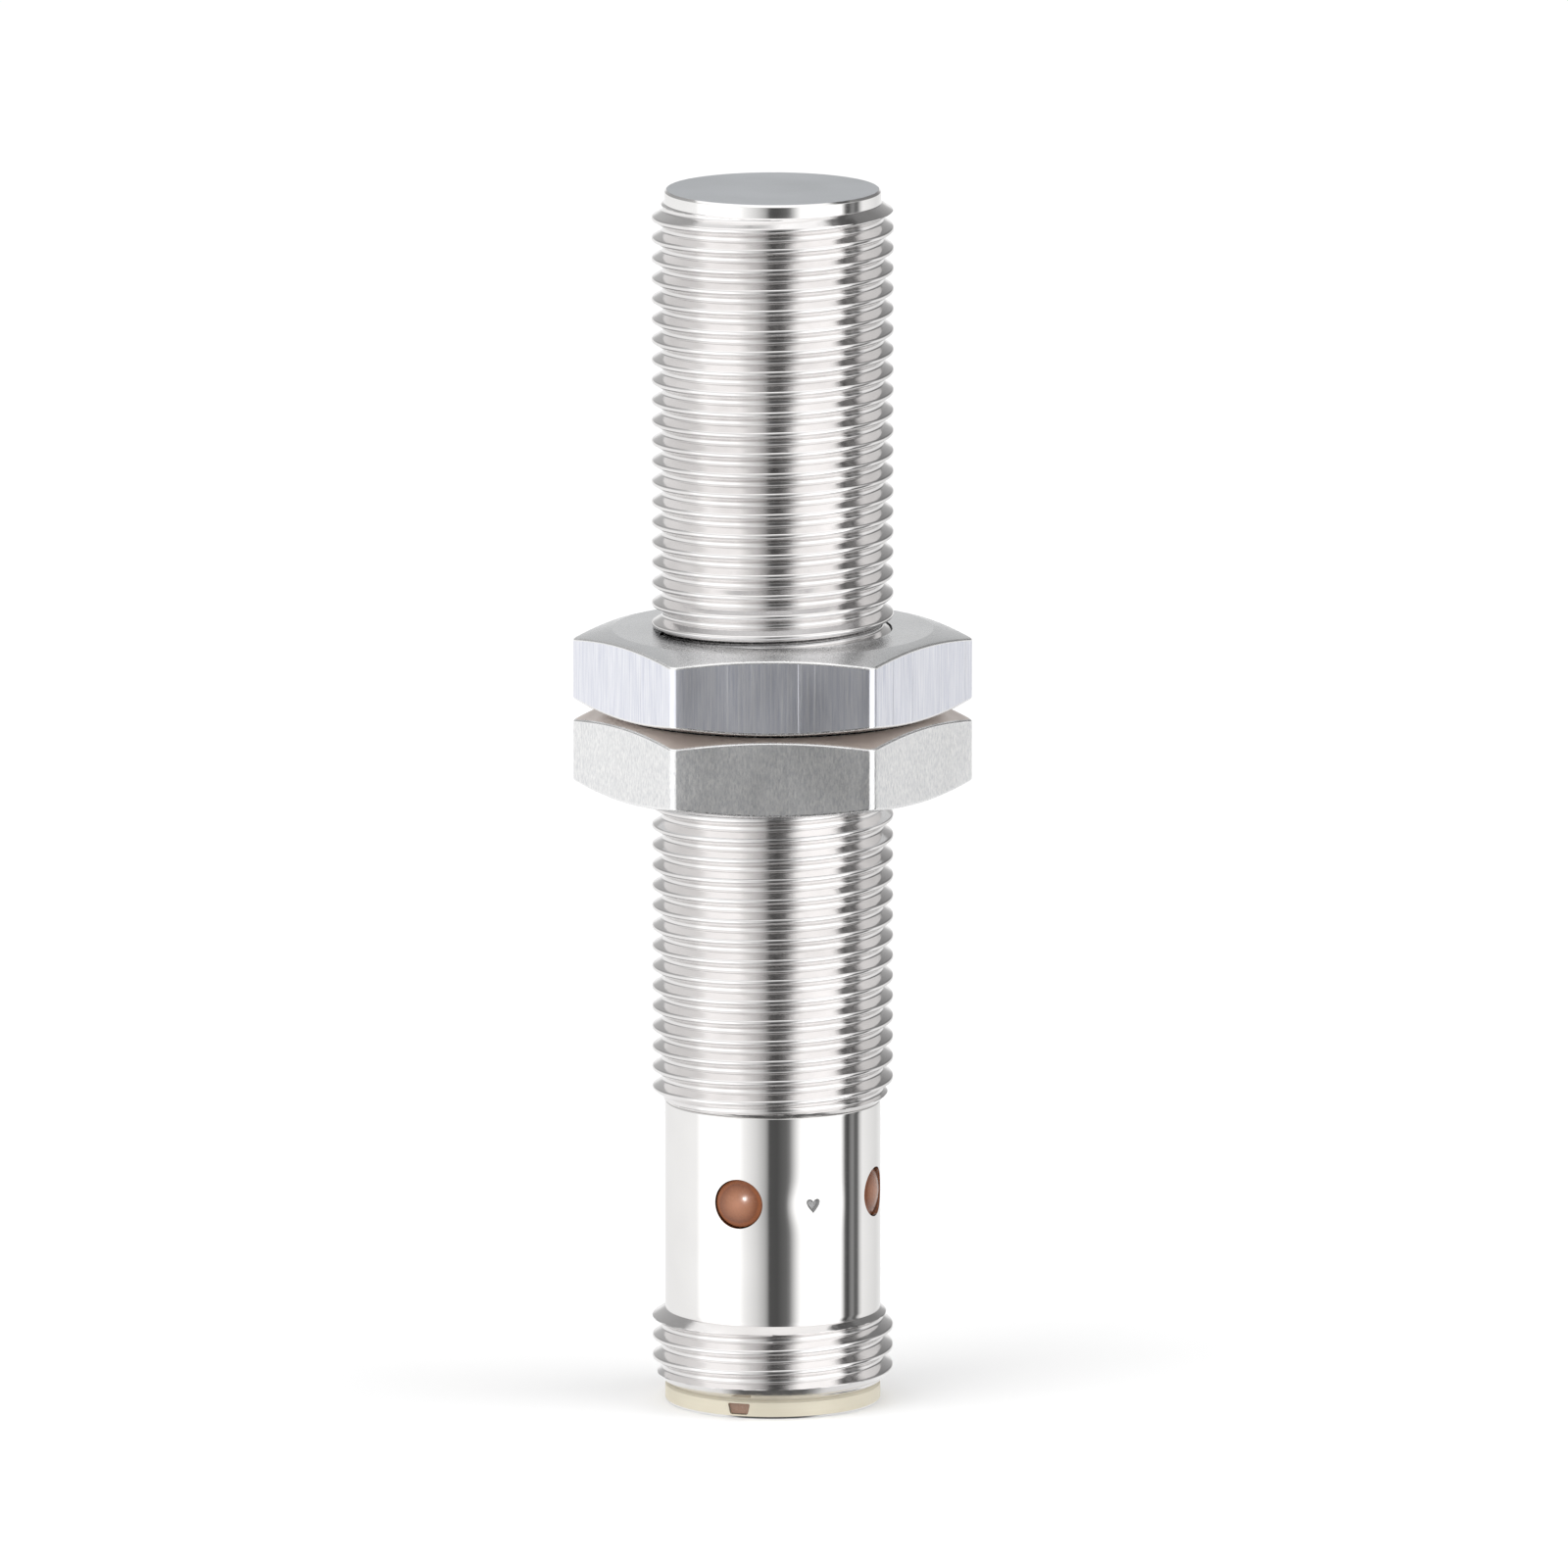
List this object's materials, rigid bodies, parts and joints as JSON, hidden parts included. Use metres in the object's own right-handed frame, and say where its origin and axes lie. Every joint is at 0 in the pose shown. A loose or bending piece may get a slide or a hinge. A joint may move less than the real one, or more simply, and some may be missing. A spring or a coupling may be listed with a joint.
{
  "type": "proximity sensor",
  "caption": "Cylindrical metal-faced inductive proximity sensor with a threaded barrel, hexagon lock nuts, light windows in a polished neck and a round plug connector.",
  "frame": {"origin": "centre of the plug end's rim, at the bottom of the sensor", "axes": "+Z along the barrel axis from the plug end to the sensing face; -Y is the side with the staking mark and one status window"},
  "size_m": [0.0194, 0.017, 0.06],
  "materials": {
    "steel_barrel": "satin",
    "steel_polished": "polished",
    "steel_nut": "finely ground",
    "amber_plastic": "translucent amber-brown",
    "seal_rubber": "matte",
    "holder_plastic": "moulded",
    "shield_brass": "plain",
    "ferrite": "sintered, matte",
    "bobbin_plastic": "moulded",
    "copper_wire": "enamelled copper",
    "board_laminate": "solder-masked laminate",
    "chip_black": "moulded",
    "capacitor_tan": "sintered",
    "resistor_black": "glazed",
    "led_white": "clear epoxy",
    "gold_contact": "gold plated",
    "liner_film": "polyimide film",
    "resin_black": "cast resin"
  },
  "bodies": {
    "housing": {"threaded_barrel": "steel_barrel", "plug_sleeve": "steel_polished", "light_guide_ring": "amber_plastic", "connector_insert": "amber_plastic", "insert_seal": "seal_rubber", "core_holder": "holder_plastic", "shield_ring": "shield_brass", "ferrite_core": "ferrite", "coil_bobbin": "bobbin_plastic", "coil_winding": "copper_wire", "coil_lead_a": "copper_wire", "coil_lead_b": "copper_wire", "circuit_board": "board_laminate", "oscillator_chip": "chip_black", "output_driver": "chip_black", "voltage_regulator": "chip_black", "protection_diode_1": "chip_black", "protection_diode_2": "chip_black", "supply_capacitor": "capacitor_tan", "tuning_capacitor_1": "capacitor_tan", "tuning_capacitor_2": "capacitor_tan", "liner_tube": "liner_film", "resin_plug": "resin_black", "contact_wire_1": "copper_wire", "contact_wire_2": "copper_wire", "contact_wire_3": "copper_wire", "contact_wire_4": "copper_wire", "contact_pin_1": "gold_contact", "contact_pin_2": "gold_contact", "contact_pin_3": "gold_contact", "contact_pin_4": "gold_contact", "status_window_1": "amber_plastic", "status_window_2": "amber_plastic", "status_window_3": "amber_plastic", "status_window_4": "amber_plastic", "status_led_1": "led_white", "status_led_2": "led_white", "status_led_3": "led_white", "status_led_4": "led_white", "chip_resistor_1": "resistor_black", "chip_resistor_2": "resistor_black", "chip_resistor_3": "resistor_black", "chip_resistor_4": "resistor_black"},
    "upper_nut_travel": {"upper_nut_bearing_face": "steel_nut"},
    "upper_nut": {"upper_lock_nut": "steel_nut"},
    "lower_nut_travel": {"lower_nut_bearing_face": "steel_nut"},
    "lower_nut": {"lower_lock_nut": "steel_nut"}
  },
  "joints": [
    {"name": "upper_nut_slide", "type": "slide", "parent": "housing", "child": "upper_nut_travel", "axis": [0, 0, 1], "range_m": [0, 0.02]},
    {"name": "upper_nut_turn", "type": "hinge", "parent": "upper_nut_travel", "child": "upper_nut", "pos_m": [0, 0, 0.03631], "axis": [0, 0, 1], "range_deg": [0, 7200]},
    {"name": "lower_nut_slide", "type": "slide", "parent": "housing", "child": "lower_nut_travel", "axis": [0, 0, 1], "range_m": [-0.015, 0]},
    {"name": "lower_nut_turn", "type": "hinge", "parent": "lower_nut_travel", "child": "lower_nut", "pos_m": [0, 0, 0.03228], "axis": [0, 0, 1], "range_deg": [-5400, 0]}
  ],
  "couplings": [
    {"joint": "upper_nut_turn", "follows": "upper_nut_slide", "rad_per_m": 6283},
    {"joint": "lower_nut_turn", "follows": "lower_nut_slide", "rad_per_m": 6283}
  ]
}
